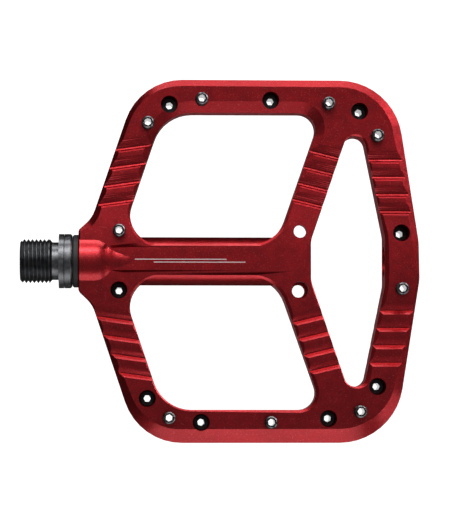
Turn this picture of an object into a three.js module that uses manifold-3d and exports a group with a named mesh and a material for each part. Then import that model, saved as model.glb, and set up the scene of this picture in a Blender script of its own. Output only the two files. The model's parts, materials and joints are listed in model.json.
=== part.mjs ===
// A flat platform pedal for a mountain bike, in millimetres.
//
// +X runs along the spindle from the crank to the outboard edge, +Y is the front edge and +Z is up.
// The origin lies on the spindle's axis, midway between the threaded end and the outboard edge.
// The body is the same shape after half a turn about X, so either side can be trodden on: every top
// feature below is made once, and a copy turned half round about X makes its twin on the underside.
import * as THREE from "three";
import { mergeVertices } from "three/addons/utils/BufferGeometryUtils.js";
import Module from "manifold-3d";

const wasm = await Module();
wasm.setup();

// ---- Driving dimensions ----

const THREAD_END_X = -63.3; // the crank end of the spindle
const OUTBOARD_X = 63.3; // the outboard edge of the body
const INBOARD_X = -44.8; // the body's face towards the crank
const HALF_LENGTH = 57.7; // front edge to spindle axis

const PLATE_Z = 6.15; // the flat top along the middle of the body
const CHAMFER_RUN = 5.4; // how far in from the outline the chamfer's 45 degree plane is carried
const NARROW_RUN = 1.3; // the same at the crank end, where the corner is tight

const TUBE_R = 7.7; // the spindle housing that crosses the two windows
const BARREL_R = 8.85; // the round boss at its inboard end

const BORE_R = 5.1; // the long bore, and the seat of the bearings
const BUSH_SEAT_R = 6.05;
const BUSH_SEAT_END_X = -33.9;
const SHOULDER_R = 4.4; // the land between the two bores, which the bearings rest on
const SHOULDER_X = [9.9, 11.4];
const TUBE_END_X = 28.8; // the housing's outboard face, in the triangular window
const ACCESS_HOLE_R = 4.8; // lets a socket through the outer bar to the end cap and the lock nut
const ACCESS_MOUTH_R = 4.1; // and is narrower at the bar's outer face

const PIN_HOLE_R = 2.05;
const PIN_R = 1.95;
const PIN_HEAD_R = 2.5;
const PIN_HEAD_HEIGHT = 2.0;
const PIN_LENGTH = 7.0; // under the head, which lies deep in its counterbore
const PIN_STAND = 4.1; // how far a pin stands out of the body
const COUNTERBORE_R = 2.72;
const PIN_HEX_R = 1.15; // to the corners of the 2 mm key's socket, which runs right through

const THREAD_PITCH = 1.27; // 9/16 inch x 20 threads per inch, right-handed
const THREAD_MAJOR_R = 7.0;
const THREAD_MINOR_R = 6.22;

const THREAD_RELIEF_X = -53.15; // the thread ends here, and a plain neck runs on to the flange
const SOCKET_CORNER_R = 4.62; // the 8 mm hex socket in the threaded end
const SOCKET_DEPTH = 6.5;
const FLANGE_X = [-51.05, -49.4];
const FLANGE_R = 8.65;
const JOURNAL_R = 5.0;

const BEARING_START_X = 11.5; // three ball bearings, 6 x 10 x 3 mm, side by side
const BEARING_WIDTH = 3;
const BEARING_BORE_R = 3.0;
const BALLS = 8;
const BALL_R = 0.5;
const BALL_CIRCLE_R = 4.0;
const NUT_X = [21.35, 24.6];
const NUT_CORNER_R = 4.6;
const SPINDLE_END_X = 25.2;
const CAP_HEX_R = 2.89;

const FINE = 32; // sides of the round parts that show
const COARSE = 20; // sides of the small parts inside

// The top of the body as [y, z]. It is a shallow wave: a crest along the spindle, a dip in front of
// it, a rise to the front edge, and a long fall to the rear edge.
const TOP_PROFILE = [
  [62, 6.16],
  [50, 5.61],
  [44, 5.4],
  [38, 5.27],
  [30, 5.25],
  [22, 5.39],
  [16, 5.62],
  [10, 5.93],
  [6, 6.09],
  [3, PLATE_Z],
  [-3, PLATE_Z],
  [-6, 6.09],
  [-10, 5.93],
  [-16, 5.67],
  [-26, 5.29],
  [-36, 4.94],
  [-46, 4.42],
  [-62, 3.41],
];

// How deep the outer edge's chamfer starts below the top, as [bearing, depth]. The bearing is in
// degrees about the origin, from the outboard end round by the front edge to the crank end.
const FRONT_CHAMFER = [
  [0, 1.3],
  [5, 2.2],
  [14, 2.4],
  [26, 3.1],
  [35, 2.9],
  [56, 2.5],
  [103, 2.3],
  [115, 1.8],
  [128, 1.25],
  [151, 1.25],
  [157, 1.9],
  [163, 2.0],
  [165.5, 1.7],
  [166.8, 1.0],
  [168, 0.6],
  [172, 0.2],
  [180, 0.2],
];
// The same, round by the rear edge.
const REAR_CHAMFER = [
  [0, 1.3],
  [4, 0.3],
  [13, 2.3],
  [31, 2.4],
  [35, 3.0],
  [48, 4.2],
  [100, 4.2],
  [115, 3.4],
  [131, 1.9],
  [155, 0.8],
  [164, 0.3],
  [180, 0.2],
];

// Plan corners as [x, y, radius], the front half, from outboard to inboard.
const OUTER_CORNERS = [
  [OUTBOARD_X, 6.2, 10],
  [55.6, HALF_LENGTH, 20.1],
  [-25.6, HALF_LENGTH, 19.1],
  [-40.5, 13.7, 10],
  [INBOARD_X, 9.6, 1.4],
];
const WINDOW_CORNERS = [
  [-32.3, 5.0, 9.6],
  [17.95, 5.0, 12],
  [32.6, 47.2, 5.4],
  [-17.9, 47.2, 12.6],
];
const TRIANGLE_CORNERS = [
  [52.36, 7.8, 8],
  [43.7, 49.6, 3.53],
  [TUBE_END_X, 6.4, 8],
];

// Where pins stand up from the top. The last place holds no pin, only its hole.
const PIN_PLACES = [
  [-22.95, 43.6],
  [-5.9, 51.15],
  [34.4, 49.95],
  [49.95, 39.8],
  [-32.0, 9.35],
  [57.6, -8.9],
  [-16.1, -49.7],
  [16.1, -51.1],
  [44.4, -47.7],
  [25.35, 9.3],
];
const PINS_FITTED = 9;

// Four grip grooves cross each arm in front of the spindle and four behind it. x is the middle of
// the arm at the first groove, lean is how far the arm's middle moves in x for each mm of y.
const GROOVED_ARMS = [
  { x: -33.28, first: 18.5, pitch: 5.87, lean: 0.3415, tilt: 8, reach: 9.5 },
  { x: 27.82, first: 18.5, pitch: 5.15, lean: 0.346, tilt: -13.7, reach: 7.5 },
  { x: 56.26, first: 15.8, pitch: 5.5, lean: -0.1785, tilt: 0, reach: 9 },
];
const GROOVES_PER_ARM = 4;
// A groove's section as [distance towards the rear, height over the top]. In front of the spindle a
// cove comes down in the cutter's small steps, and its wall climbs by a fillet, a steep face and a
// broken edge. Behind the spindle a plain fall meets a sloping wall.
const GROOVE_DEPTH = 1.25;
const COVE_STEPS = 5;
const COVE_LENGTH = 2.8;
const stepped = Array.from({ length: COVE_STEPS }, (_, i) => {
  const at = (share) => [(share / COVE_STEPS - 1) * COVE_LENGTH, (-share / COVE_STEPS) * GROOVE_DEPTH];
  const [along, up] = at(i + 0.5);
  return [at(i), [along, up + 0.06]];
}).flat();
const GROOVE_FRONT = [...stepped, [0, -GROOVE_DEPTH], [0.42, -1.05], [0.88, -0.25], [1.3, 0]];
const GROOVE_REAR = [[-3.2, 0], [-1.7, -0.24], [-0.3, -0.95], [0, -1.0], [1.2, 0]];

// ---- Materials ----

const material = (color, roughness, metalness) =>
  new THREE.MeshStandardMaterial({ color, roughness, metalness });
const RED_ANODISED = material(0x9c1c26, 0.38, 0.9);
const BLACK_STEEL = material(0x17181a, 0.35, 0.8);
const BEARING_STEEL = material(0xb9bcc0, 0.25, 1.0);
const BLACK_RUBBER = material(0x101010, 0.8, 0.0);
const POLYMER = material(0x2b2b27, 0.6, 0.0);

// ---- Solids from three.js geometry ----

function solid(geometry) {
  const bare = geometry.index ? geometry.toNonIndexed() : geometry.clone();
  for (const attribute of ["normal", "uv"]) bare.deleteAttribute(attribute);
  const merged = mergeVertices(bare, 1e-4);
  return new wasm.Manifold(
    new wasm.Mesh({
      numProp: 3,
      vertProperties: merged.attributes.position.array,
      triVerts: new Uint32Array(merged.index.array),
    }),
  );
}

function geometryOf(manifold) {
  const { vertProperties, triVerts } = manifold.getMesh();
  const geometry = new THREE.BufferGeometry();
  geometry.setAttribute("position", new THREE.BufferAttribute(vertProperties, 3));
  geometry.setIndex(new THREE.BufferAttribute(triVerts, 1));
  return geometry;
}

const HALF_TURN = new THREE.Matrix4().makeRotationX(Math.PI);

// A geometry's solid and its twin on the underside, as one list.
function bothSides(geometry) {
  return [solid(geometry), solid(geometry.clone().applyMatrix4(HALF_TURN))];
}

const join = (solids) => solids.reduce((sum, next) => sum.add(next));

// A solid turned about X, from a closed profile of [x, radius] points.
function turned(profile, sides, start = 0) {
  const points = profile.map(([x, r]) => new THREE.Vector2(r, x));
  points.push(points[0].clone());
  if (THREE.ShapeUtils.area(points) < 0) points.reverse();
  const geometry = new THREE.LatheGeometry(points, sides, start);
  return geometry.rotateZ(-Math.PI / 2);
}

// A ring about X between two faces, bored through.
const ring = (x0, x1, inner, outer, sides = COARSE) =>
  turned([[x0, inner], [x0, outer], [x1, outer], [x1, inner]], sides);

// A plain shaft about X between two faces.
const shaft = (x0, x1, radius, sides = COARSE) =>
  turned([[x0, 0], [x0, radius], [x1, radius], [x1, 0]], sides);

// A hexagonal prism about X, sized to its corners.
function hexPrism(x0, x1, cornerRadius) {
  const geometry = new THREE.CylinderGeometry(cornerRadius, cornerRadius, x1 - x0, 6);
  return geometry.rotateZ(Math.PI / 2).translate((x0 + x1) / 2, 0, 0);
}

// A plan outline pulled up between two heights.
function prism(points, z0, z1) {
  const shape = new THREE.Shape(points);
  const options = { depth: z1 - z0, bevelEnabled: false };
  return new THREE.ExtrudeGeometry(shape, options).translate(0, 0, z0);
}

// A closed skin over a stack of rings with equal numbers of points, each ring a list of Vector3.
function loft(rings) {
  const count = rings[0].length;
  const positions = rings.flat().flatMap((p) => [p.x, p.y, p.z]);
  const faces = [];
  for (let level = 0; level < rings.length - 1; level++) {
    for (let i = 0; i < count; i++) {
      const a = level * count + i;
      const b = level * count + ((i + 1) % count);
      faces.push(a, b, b + count, a, b + count, a + count);
    }
  }
  const lid = (points) => THREE.ShapeUtils.triangulateShape(points, []);
  for (const [a, b, c] of lid(rings[0])) faces.push(c, b, a);
  const top = (rings.length - 1) * count;
  for (const [a, b, c] of lid(rings[rings.length - 1])) faces.push(top + a, top + b, top + c);
  const geometry = new THREE.BufferGeometry();
  geometry.setAttribute("position", new THREE.Float32BufferAttribute(positions, 3));
  geometry.setIndex(faces);
  return geometry;
}

// ---- Plan outlines ----

const mirrored = (corners) => corners.map(([x, y, r]) => [x, -y, r]).reverse();

// An anticlockwise outline through corners of [x, y, radius], each one rounded by an arc.
function roundedOutline(corners, degreesPerStep = 9) {
  const outline = [];
  const at = (i) => new THREE.Vector2(...corners[(i + corners.length) % corners.length]);
  corners.forEach(([, , radius], i) => {
    const corner = at(i);
    const back = at(i - 1).sub(corner).normalize();
    const ahead = at(i + 1).sub(corner).normalize();
    const half = Math.acos(back.dot(ahead)) / 2;
    const centre = back.clone().add(ahead).setLength(radius / Math.sin(half)).add(corner);
    const tangent = radius / Math.tan(half);
    const from = back.multiplyScalar(tangent).add(corner).sub(centre).angle();
    const to = ahead.multiplyScalar(tangent).add(corner).sub(centre).angle();
    const turn = THREE.MathUtils.euclideanModulo(to - from + Math.PI, 2 * Math.PI) - Math.PI;
    const steps = Math.max(1, Math.ceil(Math.abs(turn) / THREE.MathUtils.degToRad(degreesPerStep)));
    for (let step = 0; step <= steps; step++) {
      const angle = from + (turn * step) / steps;
      outline.push(new THREE.Vector2(Math.cos(angle), Math.sin(angle)).multiplyScalar(radius).add(centre));
    }
  });
  return outline;
}

// The unit normal of an anticlockwise outline at each of its points, pointing out of it.
function outwardNormals(points) {
  const side = (a, b) => new THREE.Vector2(b.y - a.y, a.x - b.x).normalize();
  return points.map((point, i) => {
    const before = points[(i + points.length - 1) % points.length];
    const after = points[(i + 1) % points.length];
    const first = side(before, point);
    const bisector = side(point, after).add(first).normalize();
    return bisector.divideScalar(bisector.dot(first));
  });
}

const outerOutline = roundedOutline([...mirrored(OUTER_CORNERS), ...OUTER_CORNERS]);
const windowOutline = roundedOutline(WINDOW_CORNERS);
const rearWindowOutline = windowOutline.map(({ x, y }) => new THREE.Vector2(x, -y)).reverse();
const triangleOutline = roundedOutline([...mirrored(TRIANGLE_CORNERS), ...TRIANGLE_CORNERS]);

// ---- Body ----

// The top surface's height at y.
function topZ(y) {
  const next = TOP_PROFILE.findIndex(([station]) => station <= y);
  const [y0, z0] = TOP_PROFILE[next - 1];
  const [y1, z1] = TOP_PROFILE[next];
  return THREE.MathUtils.mapLinear(y, y0, y1, z0, z1);
}

// How deep the top's outer chamfer starts at a point of the outline.
function chamferDepth({ x, y }) {
  const bearing = Math.abs(THREE.MathUtils.radToDeg(Math.atan2(y, x)));
  const table = y > 0 ? FRONT_CHAMFER : REAR_CHAMFER;
  const next = Math.max(1, table.findIndex(([station]) => station >= bearing));
  const [from, depth0] = table[next - 1];
  const [to, depth1] = table[next];
  return THREE.MathUtils.mapLinear(bearing, from, to, depth0, depth1);
}

// A slab with the wavy top, and the same under it after half a turn.
function wavySlab() {
  const section = [...TOP_PROFILE, ...TOP_PROFILE.map(([y, z]) => [-y, -z])];
  const shape = new THREE.Shape(section.map(([y, z]) => new THREE.Vector2(y, z)));
  const slab = new THREE.ExtrudeGeometry(shape, { depth: 140, bevelEnabled: false });
  slab.translate(0, 0, -70);
  slab.applyMatrix4(new THREE.Matrix4().makeBasis(
    new THREE.Vector3(0, 1, 0),
    new THREE.Vector3(0, 0, 1),
    new THREE.Vector3(1, 0, 0),
  ));
  return solid(slab);
}

// The blank: the outer outline with 45 degree chamfers above and below, under the wavy top.
function blank() {
  const normals = outwardNormals(outerOutline);
  const widening = (x) => THREE.MathUtils.clamp((x - INBOARD_X - 0.5) / 2.5, 0, 1);
  const run = (x) => THREE.MathUtils.lerp(NARROW_RUN, CHAMFER_RUN, widening(x));
  // The edge's height on the top, and its half-turn twin on the underside.
  const edge = (p) => topZ(p.y) - chamferDepth(p);
  const low = (p) => -edge({ x: p.x, y: -p.y });
  const level = (height, inset) =>
    outerOutline.map((p, i) =>
      new THREE.Vector3(p.x - normals[i].x * inset(p.x), p.y - normals[i].y * inset(p.x), height(p)));
  const none = () => 0;
  const chamfered = loft([
    level((p) => low(p) - run(p.x), run),
    level(low, none),
    level(edge, none),
    level((p) => edge(p) + run(p.x), run),
  ]);

  return solid(chamfered).intersect(wavySlab());
}

// The housing that holds the spindle: a tube milled off above and below, and a round inboard boss
// that sinks into the top in a smooth curve and runs out in a long low ridge.
function housing() {
  const tube = solid(shaft(-38, TUBE_END_X, TUBE_R, 40));
  const swell = [
    [-39.4, 8.83], [-38.4, 8.72], [-37.5, 8.5], [-36.7, 8.2], [-35.9, 7.8], [-35.2, 7.4], [-34.5, 7.08],
    [-33.7, 6.82], [-32.6, 6.62], [-31.2, 6.46], [-29.4, 6.3], [-27.2, 6.12],
  ];
  const barrel = [[INBOARD_X, 0], [INBOARD_X, 8.5], [INBOARD_X + 0.35, BARREL_R], [-40.4, BARREL_R]];
  const boss = turned([...barrel, ...swell, [-27.2, 0]], 64);
  return tube.intersect(wavySlab()).add(solid(boss));
}

// The wedge that chamfers a window's upper edge. depthAt says how far below the top the chamfer meets
// the window's wall, and slope is how much it rises for each mm away from it.
function edgeWedge(outline, depthAt, slope) {
  const normals = outwardNormals(outline);
  const above = 1;
  const offset = (p, i, out, height) =>
    new THREE.Vector3(p.x + normals[i].x * out, p.y + normals[i].y * out, height);
  const low = outline.map((p, i) => offset(p, i, -0.5, topZ(p.y) - depthAt(p) - 0.5 * slope));
  const high = outline.map((p, i) =>
    offset(p, i, Math.max(0.4, (depthAt(p) + above) / slope), topZ(p.y) + above));
  return loft([low, high]);
}

// The front window's chamfer is widest at the front and narrow along the spindle. The others are
// narrow, and widest along the strut and the outer bar.
function windowWedges() {
  const away = (x, from, to) => THREE.MathUtils.smoothstep(x, from, to);
  return [
    edgeWedge(windowOutline, ({ y }) => Math.max(0.45, 0.05 * (y - 8)), 0.6),
    edgeWedge(rearWindowOutline, ({ x }) => 0.4 + 0.4 * away(x, 8, 22), 0.8),
    edgeWedge(triangleOutline, ({ x, y }) => 0.25 + (0.65 - 0.007 * y) * away(x, 40, 48), 0.8),
  ];
}

// One groove as a prism across the arm, laid along the wave of the top.
function groove(x, y, tilt, section, reach) {
  const above = 3;
  const laid = section.map(([along, up]) => [along, up + topZ(y - along) - topZ(y)]);
  const closed = [...laid, [section.at(-1)[0], above], [section[0][0], above]];
  const shape = new THREE.Shape(closed.map(([along, up]) => new THREE.Vector2(-along, up)));
  const geometry = new THREE.ExtrudeGeometry(shape, { depth: 2 * reach, bevelEnabled: false });
  geometry.translate(0, 0, -reach);
  geometry.applyMatrix4(new THREE.Matrix4().makeBasis(
    new THREE.Vector3(0, 1, 0),
    new THREE.Vector3(0, 0, 1),
    new THREE.Vector3(1, 0, 0),
  ));
  return geometry.rotateZ(THREE.MathUtils.degToRad(tilt)).translate(x, y, topZ(y));
}

function grooves() {
  const cuts = [];
  for (const { x, first, pitch, lean, tilt, reach } of GROOVED_ARMS) {
    for (let i = 0; i < GROOVES_PER_ARM; i++) {
      const y = first + i * pitch;
      const middle = x + i * pitch * lean;
      cuts.push(groove(middle, y, tilt, GROOVE_FRONT, reach));
      cuts.push(groove(middle, -y, -tilt, GROOVE_REAR, reach));
    }
  }
  return cuts;
}

// The underside's height below y, from the half-turn symmetry.
const bottomZ = (y) => -topZ(-y);

// How high the shoulder under a pin's head lies, so that the pin stands out by PIN_STAND.
const pinSeatZ = (y) => topZ(y) + PIN_STAND - PIN_LENGTH;

// A pin's tapped hole and the counterbore for its head, below.
function pinHole([x, y]) {
  const hole = new THREE.CylinderGeometry(PIN_HOLE_R, PIN_HOLE_R, 20, 16).rotateX(Math.PI / 2);
  const low = bottomZ(y) - 1;
  const height = pinSeatZ(y) - low;
  const sink = new THREE.CylinderGeometry(COUNTERBORE_R, COUNTERBORE_R, height, 20).rotateX(Math.PI / 2);
  return [hole.translate(x, y, 0), sink.translate(x, y, low + height / 2)];
}

function body() {
  const windows = [windowOutline, rearWindowOutline, triangleOutline];
  const openings = windows.map((outline) => solid(prism(outline, -14, 14)));
  const reliefs = [...windowWedges(), ...grooves()].flatMap(bothSides);
  const bores = [
    shaft(INBOARD_X - 1, BUSH_SEAT_END_X, BUSH_SEAT_R, FINE),
    shaft(BUSH_SEAT_END_X - 1, SHOULDER_X[0], BORE_R, FINE),
    shaft(SHOULDER_X[0] - 1, SHOULDER_X[1] + 1, SHOULDER_R, FINE),
    shaft(SHOULDER_X[1], TUBE_END_X + 1, BORE_R, FINE),
    shaft(45, 58.5, ACCESS_HOLE_R, FINE),
    shaft(58, OUTBOARD_X + 1, ACCESS_MOUTH_R, FINE),
  ].map(solid);
  const pinHoles = PIN_PLACES.flatMap(pinHole).flatMap(bothSides);
  return blank()
    .subtract(join(openings))
    .subtract(join(reliefs))
    .add(housing())
    .subtract(join(bores))
    .subtract(join(pinHoles));
}

// ---- Pins ----

// A traction pin: a screw whose head sits in the underside and whose tip stands out of the top.
function pin(x, y) {
  const seat = pinSeatZ(y);
  const tip = seat + PIN_LENGTH;
  const bevel = 0.35;
  const outline = [
    [0, seat - PIN_HEAD_HEIGHT],
    [PIN_HEAD_R, seat - PIN_HEAD_HEIGHT],
    [PIN_HEAD_R, seat - 0.1],
    [PIN_R, seat - 0.1],
    [PIN_R, tip - bevel],
    [PIN_R - bevel, tip],
    [0, tip],
  ];
  const points = outline.map(([r, z]) => new THREE.Vector2(r, z));
  const screw = new THREE.LatheGeometry(points, 14).rotateX(Math.PI / 2);
  const socket = new THREE.CylinderGeometry(PIN_HEX_R, PIN_HEX_R, 30, 6).rotateX(Math.PI / 2);
  return geometryOf(solid(screw).subtract(solid(socket))).translate(x, y, 0);
}

// ---- Spindle ----

// A shaft with the 9/16 inch thread on it. Helical rows half a pitch apart lie on the crest and the
// root in turn, and each row runs on after a full turn as the next but one.
function threadedShaft(x0, x1) {
  const rows = 2 * Math.ceil((x1 - x0) / THREAD_PITCH) + 6;
  const positions = [];
  for (let row = 0; row < rows; row++) {
    const radius = row % 2 ? THREAD_MAJOR_R + 0.04 : THREAD_MINOR_R;
    for (let i = 0; i < FINE; i++) {
      const angle = (2 * Math.PI * i) / FINE;
      const x = x0 + THREAD_PITCH * (row / 2 + i / FINE - 1.5);
      positions.push(x, radius * Math.cos(angle), radius * Math.sin(angle));
    }
  }
  const at = (row, i) => (i < FINE ? row * FINE + i : (row + 2) * FINE);
  const rim = (row) => [...Array(FINE + 1).keys()].map((i) => at(row, i)).concat(at(row + 1, 0));
  const faces = [];
  for (let row = 0; row < rows - 3; row++) {
    for (let i = 0; i < FINE; i++) {
      faces.push(at(row, i), at(row, i + 1), at(row + 1, i + 1));
      faces.push(at(row, i), at(row + 1, i + 1), at(row + 1, i));
    }
  }
  const ends = positions.length / 3;
  positions.push(x0 - 3 * THREAD_PITCH, 0, 0, x1 + 3 * THREAD_PITCH, 0, 0);
  const [low, high] = [rim(0), rim(rows - 3)];
  low.forEach((a, i) => faces.push(ends, low[(i + 1) % low.length], a));
  high.forEach((a, i) => faces.push(ends + 1, a, high[(i + 1) % high.length]));
  const geometry = new THREE.BufferGeometry();
  geometry.setAttribute("position", new THREE.Float32BufferAttribute(positions, 3));
  geometry.setIndex(faces);
  return geometry;
}

function spindle() {
  const profile = [
    [THREAD_END_X, 0],
    [THREAD_END_X, 6.1],
    [THREAD_END_X + 0.9, THREAD_MAJOR_R],
    [THREAD_RELIEF_X - 0.8, THREAD_MAJOR_R],
    [THREAD_RELIEF_X, 6.0],
    [FLANGE_X[0], 6.0],
    [FLANGE_X[0], FLANGE_R],
    [FLANGE_X[1], FLANGE_R],
    [FLANGE_X[1], JOURNAL_R],
    [BUSH_SEAT_END_X, JOURNAL_R],
    [SHOULDER_X[0] - 2, 3.9],
    [BEARING_START_X, 3.9],
    [BEARING_START_X, BEARING_BORE_R - 0.07],
    [SPINDLE_END_X - 0.5, BEARING_BORE_R - 0.07],
    [SPINDLE_END_X, BEARING_BORE_R - 0.6],
    [SPINDLE_END_X, 0],
  ];
  const whole = solid(turned(profile, FINE));
  const plain = solid(shaft(THREAD_RELIEF_X - 0.9, 60, 20));
  const threaded = whole.subtract(plain).intersect(solid(threadedShaft(THREAD_END_X, THREAD_RELIEF_X)));
  const socket = solid(hexPrism(THREAD_END_X - 2, THREAD_END_X + SOCKET_DEPTH, SOCKET_CORNER_R));
  return geometryOf(whole.intersect(plain).add(threaded).subtract(socket));
}

// ---- Bearings, seals and fixings ----

// The ring with a chamfered outboard edge, between the spindle's flange and the seal.
const collar = () => turned(
  [[-49.25, 5.1], [-49.25, FLANGE_R], [-47.3, FLANGE_R], [-46.8, FLANGE_R - 0.5], [-46.8, 5.1]],
  FINE,
);

// The rubber seal: a flange against the body with a sleeve in the bore.
const lipSeal = () => turned(
  [[-46.65, 5.1], [-46.65, 8.0], [-46.25, 8.4], [-44.95, 8.4], [-44.95, 5.9], [-43.7, 5.9], [-43.7, 5.1]],
  FINE,
);

const bushing = () => ring(-43.5, BUSH_SEAT_END_X - 0.15, JOURNAL_R + 0.1, BUSH_SEAT_R - 0.08, FINE);

// Where each bearing starts, and its middle.
const bearingX = (i) => BEARING_START_X + 0.05 + i * (BEARING_WIDTH + 0.05);
const bearingMiddle = (i) => bearingX(i) + BEARING_WIDTH / 2;

// A bearing's ring, from the radius it is held at, its face radius and its raceway's deepest radius.
function bearingRing(i, held, face, race) {
  const [x0, middle] = [bearingX(i), bearingMiddle(i)];
  const x1 = x0 + BEARING_WIDTH;
  const raceway = [[-0.65, face], [-0.25, race], [0.25, race], [0.65, face]];
  const inside = [[x0, face], ...raceway.map(([x, r]) => [middle + x, r]), [x1, face]];
  return turned([[x0, held], ...inside, [x1, held]], COARSE);
}

// A bearing's cage with its balls.
function ballSet(bearing) {
  const middle = bearingMiddle(bearing);
  const balls = [...Array(BALLS).keys()].map((i) => {
    const ball = new THREE.SphereGeometry(BALL_R, 6, 4).translate(0, BALL_CIRCLE_R, 0);
    return solid(ball.rotateX((2 * Math.PI * i) / BALLS).translate(middle, 0, 0));
  });
  const cage = ring(middle - 0.85, middle + 0.85, BALL_CIRCLE_R - 0.15, BALL_CIRCLE_R + 0.15, 24);
  return geometryOf(join([solid(cage), ...balls]));
}

const washer = () => ring(20.7, NUT_X[0] - 0.05, BEARING_BORE_R, 3.6);

// The lock nut: a hexagon with its corners turned off.
function lockNut() {
  const [x0, x1] = NUT_X;
  const corner = NUT_CORNER_R;
  const rim = [[x0, corner - 0.4], [x0 + 0.3, corner], [x1 - 0.3, corner], [x1, corner - 0.4]];
  const crown = turned([[x0, 0], ...rim, [x1, 0]], 24);
  const hole = shaft(x0 - 1, x1 + 1, BEARING_BORE_R);
  return geometryOf(solid(crown).intersect(solid(hexPrism(x0, x1, corner))).subtract(solid(hole)));
}

// The plug that closes the housing, with a groove for its O-ring and a socket for a hex key.
function endCap() {
  const [x0, x1, r] = [25.9, TUBE_END_X - 0.3, BORE_R - 0.1];
  const profile = [[x0, 0], [x0, r], [26.6, r], [26.6, 4.3], [27.5, 4.3], [27.5, r], [x1, r], [x1, 0]];
  const socket = hexPrism(26.9, x1 + 1, CAP_HEX_R);
  return geometryOf(solid(turned(profile, FINE)).subtract(solid(socket)));
}

const capORing = () =>
  new THREE.TorusGeometry(4.69, 0.32, 8, 24).rotateY(Math.PI / 2).translate(27.05, 0, 0);

// ---- The pedal ----

const pedal = new THREE.Group();
pedal.name = "flat_pedal";

function place(name, geometry, finish) {
  const mesh = new THREE.Mesh(geometry, finish.clone());
  mesh.name = name;
  pedal.add(mesh);
}

place("body", geometryOf(body()), RED_ANODISED);
place("spindle", spindle(), BLACK_STEEL);
place("spindle_collar", collar(), BLACK_STEEL);
place("lip_seal", lipSeal(), BLACK_RUBBER);
place("bushing", bushing(), POLYMER);
["inner", "middle", "outer"].forEach((where, i) => {
  place(`bearing_${where}_inner_ring`, bearingRing(i, BEARING_BORE_R, 3.6, 3.42), BEARING_STEEL);
  place(`bearing_${where}_outer_ring`, bearingRing(i, BORE_R - 0.1, 4.4, 4.58), BEARING_STEEL);
  place(`bearing_${where}_cage_and_balls`, ballSet(i), BEARING_STEEL);
});
place("spindle_washer", washer(), BEARING_STEEL);
place("lock_nut", lockNut(), BLACK_STEEL);
place("end_cap", endCap(), RED_ANODISED);
place("end_cap_o_ring", capORing(), BLACK_RUBBER);
PIN_PLACES.slice(0, PINS_FITTED).forEach(([x, y], i) => {
  const number = String(i + 1).padStart(2, "0");
  place(`pin_top_${number}`, pin(x, y), BLACK_STEEL);
  place(`pin_bottom_${number}`, pin(x, y).applyMatrix4(HALF_TURN), BLACK_STEEL);
});

export default pedal;
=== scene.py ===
"""Looks for a flat bicycle pedal: red anodised body, blackened steel spindle and traction pins."""
import json
import math

import bmesh
import bpy
from mathutils import Matrix, Vector

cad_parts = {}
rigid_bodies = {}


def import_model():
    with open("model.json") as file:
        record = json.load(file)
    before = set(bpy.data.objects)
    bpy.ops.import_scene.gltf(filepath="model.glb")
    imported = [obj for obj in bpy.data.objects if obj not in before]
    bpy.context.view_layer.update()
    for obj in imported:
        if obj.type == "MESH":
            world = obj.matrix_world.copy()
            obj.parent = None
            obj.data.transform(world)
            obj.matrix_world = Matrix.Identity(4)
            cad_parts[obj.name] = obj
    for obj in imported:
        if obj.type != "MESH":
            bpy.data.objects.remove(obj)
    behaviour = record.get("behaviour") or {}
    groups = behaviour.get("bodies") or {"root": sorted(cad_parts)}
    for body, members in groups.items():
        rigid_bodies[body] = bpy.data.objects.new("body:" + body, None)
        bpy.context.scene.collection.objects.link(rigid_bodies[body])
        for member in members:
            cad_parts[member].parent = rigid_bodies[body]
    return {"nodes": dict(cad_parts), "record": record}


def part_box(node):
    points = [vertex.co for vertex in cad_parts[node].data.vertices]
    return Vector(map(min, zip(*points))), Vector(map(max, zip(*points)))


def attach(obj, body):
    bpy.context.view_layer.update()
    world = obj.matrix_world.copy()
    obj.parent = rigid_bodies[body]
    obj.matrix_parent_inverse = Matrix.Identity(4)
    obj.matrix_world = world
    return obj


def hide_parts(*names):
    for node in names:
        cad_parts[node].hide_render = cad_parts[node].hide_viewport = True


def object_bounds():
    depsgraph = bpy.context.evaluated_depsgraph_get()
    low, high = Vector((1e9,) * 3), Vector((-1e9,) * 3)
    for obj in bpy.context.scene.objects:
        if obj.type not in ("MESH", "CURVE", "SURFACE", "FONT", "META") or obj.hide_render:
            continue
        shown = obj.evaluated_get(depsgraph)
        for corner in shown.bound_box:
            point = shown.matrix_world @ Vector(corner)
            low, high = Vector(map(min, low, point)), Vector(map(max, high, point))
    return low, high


for leftover in list(bpy.data.objects):
    bpy.data.objects.remove(leftover)

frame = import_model()
cad_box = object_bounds()
nodes = frame["nodes"]

MM = 0.001


# ---- Node material helpers ----

class Nodes:
    """A small builder for a node tree. Values may be numbers, colours or other nodes' sockets."""

    def __init__(self, tree):
        self.tree = tree

    def add(self, kind, inputs=None, **settings):
        node = self.tree.nodes.new(kind)
        for key, value in settings.items():
            setattr(node, key, value)
        for key, value in (inputs or {}).items():
            self.put(value, node.inputs[key])
        return node

    def put(self, value, socket):
        if isinstance(value, bpy.types.NodeSocket):
            self.tree.links.new(value, socket)
        else:
            socket.default_value = value

    def math(self, operation, *values):
        node = self.add("ShaderNodeMath", operation=operation)
        for socket, value in zip(node.inputs, values):
            self.put(value, socket)
        return node.outputs[0]

    def ramp(self, value, low, high, to_low=0.0, to_high=1.0, smooth=False):
        inputs = {"Value": value, "From Min": low, "From Max": high, "To Min": to_low, "To Max": to_high}
        node = self.add("ShaderNodeMapRange", inputs, clamp=True)
        if smooth:
            node.interpolation_type = "SMOOTHSTEP"
        return node.outputs[0]

    def split(self, vector):
        return self.add("ShaderNodeSeparateXYZ", {"Vector": vector}).outputs


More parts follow.
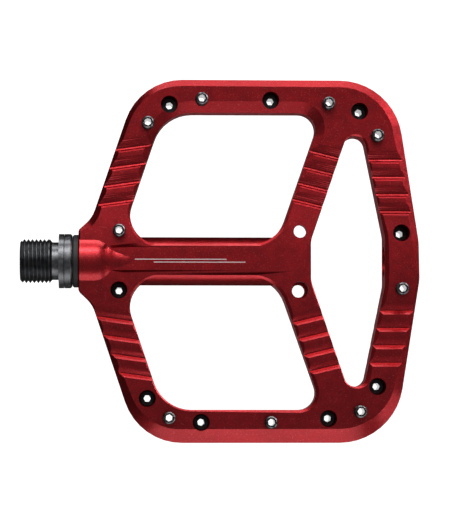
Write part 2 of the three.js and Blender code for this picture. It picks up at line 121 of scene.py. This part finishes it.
class Surface(Nodes):
    """A material's node tree, with a Principled shader at its end."""

    def __init__(self, name):
        self.material = bpy.data.materials.new(name)
        self.material.use_nodes = True
        super().__init__(self.material.node_tree)
        self.shader = next(n for n in self.tree.nodes if n.type == "BSDF_PRINCIPLED")
        place = self.add("ShaderNodeTexCoord")
        self.place = place.outputs["Object"]
        self.facing = place.outputs["Normal"]

    def noise(self, scale, detail=2.0, roughness=0.5, place=None):
        inputs = {"Vector": place or self.place, "Scale": scale, "Detail": detail, "Roughness": roughness}
        return self.add("ShaderNodeTexNoise", inputs).outputs["Fac"]

    def shifted(self, offset):
        inputs = {"Vector": self.place, "Location": (offset, offset, offset)}
        return self.add("ShaderNodeMapping", inputs).outputs["Vector"]

    def mix(self, factor, a, b):
        node = self.add("ShaderNodeMix", data_type="RGBA")
        for socket, value in ((node.inputs["Factor"], factor), (node.inputs[6], a), (node.inputs[7], b)):
            self.put(value, socket)
        return node.outputs[2]

    def bump(self, height, distance, strength):
        inputs = {"Height": height, "Distance": distance * MM, "Strength": strength}
        return self.add("ShaderNodeBump", inputs).outputs[0]

    def set(self, **inputs):
        for key, value in inputs.items():
            self.put(value, self.shader.inputs[key.replace("_", " ")])
        return self.material


RED = (0.50, 0.012, 0.020, 1)
RED_DEEP = (0.42, 0.009, 0.015, 1)
# Lighter red for the broken edges: partly edge wear, partly a painted highlight along every edge.
RED_EDGE_WEAR_AND_HIGHLIGHT = (0.62, 0.02, 0.03, 1)
RED_EDGE_WEAR_AND_HIGHLIGHT_DEEP = (0.55, 0.012, 0.02, 1)
BRIGHT_SPECK = (0.80, 0.14, 0.15, 1)
DARK_PIT = (0.16, 0.004, 0.006, 1)
GRAZING_TINT = (0.8, 0.2, 0.22, 1)
STRIPE = (0.83, 0.66, 0.66, 1)
COAT = 0.55  # left off the upright walls, where it would mirror the lit table in white


def anodised(name, tint, deep, roughness, striped=False):
    """Bead-blasted, dyed aluminium: a fine grain, specks, pits and a slow drift in the dye."""
    m = Surface(name)
    colour = m.mix(m.ramp(m.noise(38.0), 0.35, 0.65), deep, tint)
    speck = m.ramp(m.noise(2300.0, 2.0, 0.6), 0.58, 0.76)
    colour = m.mix(m.math("MULTIPLY", speck, 0.5), colour, BRIGHT_SPECK)
    pit = m.ramp(m.noise(2700.0, 2.0, 0.6, m.shifted(0.7)), 0.56, 0.76)
    colour = m.mix(m.math("MULTIPLY", pit, 0.65), colour, DARK_PIT)
    rough = m.ramp(m.noise(420.0, 3.0), 0.3, 0.7, roughness - 0.05, roughness + 0.06)
    grain = m.noise(3200.0, 3.0, 0.7)
    if striped:
        stripe = pinstripes(m)
        colour = m.mix(stripe, colour, STRIPE)
        rough = m.math("MAXIMUM", rough, m.math("MULTIPLY", stripe, 0.6))
    upward = m.math("ABSOLUTE", m.split(m.facing)[2])
    return m.set(Base_Color=colour, Roughness=rough, Normal=m.bump(grain, 0.03, 0.6), Metallic=1.0,
                 Coat_Weight=m.ramp(upward, 0.12, 0.35, 0.0, COAT), Coat_Roughness=0.26,
                 Coat_IOR=1.5, Specular_Tint=GRAZING_TINT)


HOUSING_FLAT_Z = 6.1  # the spindle housing's flat tops lie above this
STRIPE_WIDTH = 0.3
STRIPES = ((-27.0, 2.0, 0.35), (-21.0, 8.0, -0.55))  # each one's two ends and its place across


def pinstripes(m):
    """A mask for two plain straight laser lines along the housing, on both of its flats."""
    x, y, z = m.split(m.place)
    across = m.math("MULTIPLY", y, m.math("SIGN", z))

    def within(value, middle, half):
        distance = m.math("ABSOLUTE", m.math("SUBTRACT", value, middle * MM))
        return m.math("LESS_THAN", distance, half * MM)

    def bar(start, end, place):
        along = within(x, (start + end) / 2, (end - start) / 2)
        return m.math("MULTIPLY", along, within(across, place, STRIPE_WIDTH / 2))

    flat = m.math("GREATER_THAN", m.math("ABSOLUTE", z), HOUSING_FLAT_Z * MM)
    return m.math("MULTIPLY", flat, m.math("MAXIMUM", *[bar(*stripe) for stripe in STRIPES]))


RUBBED_STEEL = (0.34, 0.34, 0.35, 1)
SOCKET_STEEL = (0.55, 0.55, 0.56, 1)
WORN_RADII = (1.53, 1.62)  # wear shows outside the flat end of a pin, on its chamfer


def black_steel(name, base, roughness, axis=0, worn_above=None, socket_radius=None):
    """Blackened steel turned about an axis: turning marks and mottled oxide.

    A pin's end is rubbed bright beyond worn_above, and its socket is bare within socket_radius.
    """
    m = Surface(name)
    across = list(m.split(m.place))
    along = across.pop(axis)
    radius = m.math("SQRT", m.math("ADD", *[m.math("MULTIPLY", c, c) for c in across]))
    turning = m.add("ShaderNodeTexNoise", {"Scale": 9000.0, "Detail": 2.0}, noise_dimensions="1D")
    m.put(m.math("ADD", along, radius), turning.inputs["W"])
    mottle = m.noise(700.0, 4.0, 0.6)
    light = tuple(min(1.0, c * 2.2 + 0.02) for c in base[:3]) + (1,)
    colour = m.mix(m.ramp(mottle, 0.4, 0.75, 0.0, 0.6), base, light)
    rough = m.ramp(mottle, 0.3, 0.7, roughness - 0.06, roughness + 0.1)
    if worn_above is not None:
        ragged = m.math("MULTIPLY", m.math("SUBTRACT", mottle, 0.5), 1.2 * MM)
        edge = m.math("ADD", along, ragged)
        rubbed = m.ramp(edge, worn_above * MM, (worn_above + 0.4) * MM, 0.0, 0.9, smooth=True)
        rubbed = m.math("MULTIPLY", rubbed, m.ramp(radius, *[r * MM for r in WORN_RADII]))
        colour = m.mix(rubbed, colour, RUBBED_STEEL)
    if socket_radius is not None:
        inside = m.math("LESS_THAN", radius, socket_radius * MM)
        colour = m.mix(inside, colour, SOCKET_STEEL)
        rough = m.ramp(inside, 0.0, 1.0, rough, 0.12)
    normal = m.bump(turning.outputs["Fac"], 0.008, 0.5)
    return m.set(Base_Color=colour, Roughness=rough, Normal=normal, Metallic=1.0)


def rubber(name):
    """Moulded black rubber with a fine grain and a little dust."""
    m = Surface(name)
    grain = m.noise(1800.0, 4.0, 0.7)
    dust = m.ramp(m.noise(160.0, 3.0), 0.45, 0.8, 0.0, 0.5)
    colour = m.mix(dust, (0.012, 0.012, 0.013, 1), (0.035, 0.034, 0.033, 1))
    return m.set(Base_Color=colour, Roughness=m.ramp(grain, 0.3, 0.7, 0.5, 0.7),
                 Normal=m.bump(grain, 0.03, 0.5))


def polymer(name):
    """Dark bearing polymer with a short-fibre filler."""
    m = Surface(name)
    fibre = m.noise(2200.0, 3.0, 0.6)
    colour = m.mix(m.ramp(fibre, 0.35, 0.7), (0.02, 0.021, 0.018, 1), (0.05, 0.05, 0.044, 1))
    return m.set(Base_Color=colour, Roughness=m.ramp(fibre, 0.3, 0.7, 0.42, 0.62),
                 Normal=m.bump(fibre, 0.02, 0.4))


def ground_steel(name):
    """Ground bearing steel with a soft haze."""
    m = Surface(name)
    haze = m.noise(900.0, 3.0)
    colour = m.mix(m.ramp(haze, 0.3, 0.7), (0.42, 0.43, 0.44, 1), (0.60, 0.61, 0.62, 1))
    return m.set(Base_Color=colour, Roughness=m.ramp(haze, 0.3, 0.7, 0.16, 0.3), Metallic=1.0,
                 Normal=m.bump(m.noise(5000.0), 0.004, 0.4))


pin_steel = black_steel("pin_steel", (0.03, 0.031, 0.033, 1), 0.36, axis=2, worn_above=6.55,
                        socket_radius=1.2)

# Each slot's material, and for the body a second one on its broken edges, in a lighter red: edge wear
# with a painted highlight.
MATERIALS = {
    "red_anodised": [
        anodised("red_anodised", RED, RED_DEEP, 0.36, striped=True),
        anodised("red_anodised_edge", RED_EDGE_WEAR_AND_HIGHLIGHT, RED_EDGE_WEAR_AND_HIGHLIGHT_DEEP, 0.3),
    ],
    "black_steel": [black_steel("black_steel", (0.12, 0.122, 0.128, 1), 0.34)],
    "pin_steel": [pin_steel],
    "bearing_steel": [ground_steel("bearing_steel")],
    "black_rubber": [rubber("black_rubber")],
    "bushing_polymer": [polymer("bushing_polymer")],
}
slot_of = {sub["node"]: sub["material_slot"] for sub in frame["record"]["subparts"]}


# ---- Carried-over nodes: materials, joined facets and small rounded edges ----

BODY_EDGE = 0.25  # how wide the broken edges are, in millimetres
STEEL_EDGE = 0.08
FINE_EDGED = ("spindle", "spindle_collar", "end_cap", "lock_nut")

# Angles in degrees: up to the first, facets make one flat face; past the others, edges are broken
# or shaded sharp.
FACETS_JOINED = 0.4
EDGE_BROKEN = 28
EDGE_SHARP = 20
PIN_EDGE_SHARP = 24


def finish_node(name, bevel=None, edge_material=None):
    """Gives a CAD node its materials, one skin, broken edges where stated, and smooth shading."""
    obj = nodes[name]
    materials = MATERIALS[slot_of[name]]
    while len(obj.material_slots) < len(materials):
        obj.data.materials.append(None)
    for slot, material in zip(obj.material_slots, materials):
        slot.link = "OBJECT"
        slot.material = material
    weld = obj.modifiers.new("join_facets", "WELD")
    weld.merge_threshold = 0.002 * MM
    flat = obj.modifiers.new("merge_flat_facets", "DECIMATE")
    flat.decimate_type = "DISSOLVE"
    flat.angle_limit = math.radians(FACETS_JOINED)
    if bevel:
        cut = obj.modifiers.new("edge_break", "BEVEL")
        cut.width = bevel * MM
        cut.segments = 2
        cut.limit_method = "ANGLE"
        cut.angle_limit = math.radians(EDGE_BROKEN)
        if edge_material is not None:
            # the broken edges take the lighter red: wear plus a painted highlight
            cut.material = edge_material
    smooth_by_angle(obj, EDGE_SHARP)
    normals = obj.modifiers.new("weighted_normals", "WEIGHTED_NORMAL")
    normals.keep_sharp = True
    normals.weight = 80


def smooth_group():
    """A node group that shades smoothly, apart from edges sharper than its angle."""
    group = bpy.data.node_groups.new("smooth_by_angle", "GeometryNodeTree")
    group.interface.new_socket("Geometry", in_out="INPUT", socket_type="NodeSocketGeometry")
    group.interface.new_socket("Angle", in_out="INPUT", socket_type="NodeSocketFloat")
    group.interface.new_socket("Geometry", in_out="OUTPUT", socket_type="NodeSocketGeometry")
    new, link = group.nodes.new, group.links.new
    start, end = new("NodeGroupInput"), new("NodeGroupOutput")
    angle = new("GeometryNodeInputMeshEdgeAngle")
    sharp = new("FunctionNodeCompare")
    sharp.operation = "GREATER_THAN"
    faces, edges = new("GeometryNodeSetShadeSmooth"), new("GeometryNodeSetShadeSmooth")
    edges.domain = "EDGE"
    edges.inputs["Shade Smooth"].default_value = False
    link(start.outputs["Geometry"], faces.inputs["Geometry"])
    link(faces.outputs["Geometry"], edges.inputs["Geometry"])
    link(angle.outputs["Unsigned Angle"], sharp.inputs[0])
    link(start.outputs["Angle"], sharp.inputs[1])
    link(sharp.outputs["Result"], edges.inputs["Selection"])
    link(edges.outputs["Geometry"], end.inputs["Geometry"])
    return group


SMOOTH = smooth_group()


def smooth_by_angle(obj, degrees):
    """Shades obj smoothly, apart from edges sharper than that."""
    modifier = obj.modifiers.new("smooth_by_angle", "NODES")
    modifier.node_group = SMOOTH
    identifier = SMOOTH.interface.items_tree["Angle"].identifier
    modifier[identifier] = math.radians(degrees)


pin_nodes = [name for name in nodes if name.startswith("pin_")]
for name in nodes:
    if name == "body":
        finish_node(name, BODY_EDGE, edge_material=1)
    elif name in FINE_EDGED:
        finish_node(name, STEEL_EDGE)
    elif name not in pin_nodes:
        finish_node(name)


# ---- Traction pins: M4 screws with a hex socket right through, their tips turned to a chamfer ----

PIN_SIDES = 36
PIN_LENGTH = 7.0  # from the head's shoulder to the tip
PIN_PITCH = 0.7
PIN_CREST_R, PIN_ROOT_R = 1.95, 1.55
PIN_HEAD_R = 2.5
PIN_HEAD_HEIGHT = 2.0
PIN_HEAD_EDGE = 0.2
PIN_UNDERCUT = 0.1
PIN_THREAD_START = 2.0
PIN_THREAD_END = PIN_LENGTH - 0.45
PIN_THREAD_RUN_OUT = 0.2
PIN_CHAMFER = 0.42
KEY_FLAT = 1.0  # half of the 2 mm key
HEAD_MOUTH_R, TIP_MOUTH_R = 1.32, 1.2  # the socket's two flared ends
HEAD_MOUTH_DEPTH, TIP_MOUTH_DEPTH = 0.3, 0.2
ROWS_PER_PITCH = 8
THREAD_FLAT, THREAD_FLANK = 1.6, 4.4  # how broad the thread's crests are, and how steep its flanks


def hex_radius(angle, z):
    """The radius of the key's hexagon at that angle, the same at every height."""
    return KEY_FLAT / math.cos(angle % (math.pi / 3) - math.pi / 6)


def thread_radius(angle, z):
    """The radius of the thread's surface, which fades into a plain shank at both of its ends."""
    turn = (z / PIN_PITCH - angle / (2 * math.pi)) % 1.0
    height = min(1.0, max(0.0, THREAD_FLAT - abs(turn - 0.5) * THREAD_FLANK))
    fade = min(1.0, (z - PIN_THREAD_START) / PIN_PITCH, (PIN_THREAD_END - z) / PIN_THREAD_RUN_OUT)
    return PIN_CREST_R - (PIN_CREST_R - PIN_ROOT_R) * (1 - height) * max(0.0, fade)


def steady(radius):
    """The same radius at every angle and height."""
    return lambda angle, z: radius


def pin_rows():
    """A pin's heights and radii: from its socket's low mouth out, up the side and in at the top."""
    start, end = PIN_THREAD_START, PIN_LENGTH - PIN_CHAMFER
    count = round((end - start) / PIN_PITCH * ROWS_PER_PITCH)
    head = [
        (HEAD_MOUTH_DEPTH - PIN_HEAD_HEIGHT, hex_radius),
        (-PIN_HEAD_HEIGHT, steady(HEAD_MOUTH_R)),
        (-PIN_HEAD_HEIGHT, steady(PIN_HEAD_R - PIN_HEAD_EDGE)),
        (PIN_HEAD_EDGE - PIN_HEAD_HEIGHT, steady(PIN_HEAD_R)),
        (-PIN_HEAD_EDGE, steady(PIN_HEAD_R)),
        (-PIN_UNDERCUT, steady(PIN_HEAD_R - PIN_UNDERCUT)),
        (-PIN_UNDERCUT, steady(PIN_CREST_R)),
    ]
    thread = [(start + (end - start) * i / count, thread_radius) for i in range(count + 1)]
    tip = [
        (PIN_LENGTH, steady(PIN_ROOT_R)),
        (PIN_LENGTH, steady(TIP_MOUTH_R)),
        (PIN_LENGTH - TIP_MOUTH_DEPTH, hex_radius),
    ]
    return head + thread + tip


def pin_mesh():
    """One pin along Z, with its head's shoulder at z 0: its rows, joined into a closed skin."""
    mesh = bmesh.new()
    grid = []
    for z, radius_at in pin_rows():
        angles = [2 * math.pi * i / PIN_SIDES for i in range(PIN_SIDES)]
        points = [Vector((math.cos(a), math.sin(a), 0)) * radius_at(a, z) for a in angles]
        grid.append([mesh.verts.new((point + Vector((0, 0, z))) * MM) for point in points])
    for low, high in zip(grid, grid[1:] + grid[:1]):
        for i in range(PIN_SIDES):
            j = (i + 1) % PIN_SIDES
            mesh.faces.new((low[i], low[j], high[j], high[i]))
    data = bpy.data.meshes.new("pin")
    mesh.to_mesh(data)
    mesh.free()
    data.materials.append(pin_steel)
    return data


PIN_TURN = 2.4  # radians from one pin's socket to the next one's, so that they don't line up


def place_pins():
    """A detailed pin in place of each CAD one, standing up from the top or down from the underside."""
    shared = pin_mesh()
    for i, name in enumerate(pin_nodes):
        low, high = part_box(name)
        on_top = "top" in name
        shoulder = high.z - PIN_LENGTH * MM if on_top else low.z + PIN_LENGTH * MM
        middle = (low + high) / 2
        pin = bpy.data.objects.new(name + "_screw", shared)
        bpy.context.scene.collection.objects.link(pin)
        upright = Matrix.Rotation(0 if on_top else math.pi, 4, "X")
        turned = upright @ Matrix.Rotation(PIN_TURN * i, 4, "Z")
        pin.matrix_world = Matrix.Translation((middle.x, middle.y, shoulder)) @ turned
        smooth_by_angle(pin, PIN_EDGE_SHARP)
        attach(pin, "platform")
        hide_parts(name)


place_pins()


# ---- Stage ----

FLOOR_REACH = 3.0
FLOOR_GAP = 2.0  # millimetres below the platform when it stands on edge
ZENITH = 0.17  # how bright the studio is overhead
NADIR = 0.75  # the lit table straight below, mirrored by the upright walls
REAR_LOW = 0.1  # its near edge, mirrored by the rear flanks
BACKDROP = 0.95  # the studio as the camera sees it, past the floor

# Each light's name, place in metres, size in metres and power in watts. All face the pedal.
LIGHTS = (
    ("key", (-0.1, 0.72, 0.72), (0.9, 0.3), 5.5),
    ("key_high", (-0.1, 0.42, 0.92), (0.9, 0.25), 0.8),
    ("edge", (0.1, 1.0, 0.08), (1.2, 0.3), 5.0),
    ("side_front", (0.92, 0.6, 0.13), (0.6, 0.22), 4.6),
    ("side_rear", (0.9, -0.6, 0.10), (0.6, 0.22), 1.4),
    ("fill", (0.0, -0.95, 0.38), (1.0, 0.35), 2.0),
    ("fill_low", (0.0, -1.0, 0.05), (1.0, 0.2), 1.1),
)

# In millimetres and degrees.
CAMERA_PLACE = (-28.0, -45.0, 800.0)
CAMERA_TARGET = (1.75, -0.16, 0.0)
CAMERA_ANGLE = 11.89


def floor_material():
    """A white ground: matte grey with an even glow of its own."""
    m = Surface("floor")
    tone = m.ramp(m.noise(3.0, 2.0), 0.3, 0.7)
    colour = m.mix(tone, (0.38, 0.38, 0.38, 1), (0.40, 0.40, 0.40, 1))
    return m.set(Base_Color=colour, Roughness=0.9, Specular_IOR_Level=0.0,
                 Emission_Color=(1, 1, 1, 1), Emission_Strength=0.93)


def make_floor(z):
    """A wide square floor at that height. Reflections see the studio's table in its place."""
    mesh = bpy.data.meshes.new("floor")
    r = FLOOR_REACH
    mesh.from_pydata([(-r, -r, z), (r, -r, z), (r, r, z), (-r, r, z)], [], [(0, 1, 2, 3)])
    mesh.materials.append(floor_material())
    obj = bpy.data.objects.new("floor", mesh)
    bpy.context.scene.collection.objects.link(obj)
    obj.visible_glossy = False
    obj.visible_diffuse = False
    obj.visible_shadow = False


def look_at(obj, position, target, up):
    """Places obj and turns its -Z to the target, with its +Y as near to up as it goes."""
    back = (Vector(position) - Vector(target)).normalized()
    right = Vector(up).cross(back).normalized()
    rotation = Matrix((right, back.cross(right), back)).transposed()
    obj.matrix_world = Matrix.Translation(position) @ rotation.to_4x4()


def area_light(name, position, size, power):
    light = bpy.data.lights.new(name, "AREA")
    light.shape = "RECTANGLE"
    light.size, light.size_y = size
    light.energy = power
    obj = bpy.data.objects.new(name, light)
    bpy.context.scene.collection.objects.link(obj)
    look_at(obj, position, (0, 0, 0), up=(0, 0, 1))
    obj.visible_camera = False


def make_world():
    """A dim studio for reflections: a soft ceiling, and a table below that is lit towards the rear."""
    world = bpy.data.worlds.new("studio")
    world.use_nodes = True
    background = world.node_tree.nodes["Background"]
    m = Nodes(world.node_tree)
    _, y, z = m.split(m.add("ShaderNodeTexCoord").outputs["Generated"])
    rear = m.math("MULTIPLY", m.ramp(y, -0.25, -0.85, 0.0, REAR_LOW), m.ramp(z, 0.08, -0.12))
    ceiling = m.ramp(z, -0.1, 0.9, 0.02, ZENITH)
    table = m.ramp(z, -0.975, -0.99, 0.0, NADIR)
    light = m.math("ADD", m.math("ADD", ceiling, table), rear)
    seen = m.math("MULTIPLY", m.add("ShaderNodeLightPath").outputs["Is Camera Ray"], BACKDROP)
    m.put(m.math("MAXIMUM", light, seen), background.inputs["Strength"])
    background.inputs["Color"].default_value = (1, 1, 1, 1)
    bpy.context.scene.world = world


def make_camera():
    data = bpy.data.cameras.new("camera")
    data.angle = math.radians(CAMERA_ANGLE)
    data.clip_start = 0.01
    data.clip_end = 20.0
    camera = bpy.data.objects.new("camera", data)
    bpy.context.scene.collection.objects.link(camera)
    look_at(camera, Vector(CAMERA_PLACE) * MM, Vector(CAMERA_TARGET) * MM, up=(0, 1, 0))
    bpy.context.scene.camera = camera


make_floor(-math.hypot(cad_box[1].y, cad_box[1].z) - FLOOR_GAP * MM)
make_world()
for settings in LIGHTS:
    area_light(*settings)
make_camera()
bpy.context.scene.view_settings.view_transform = "Standard"
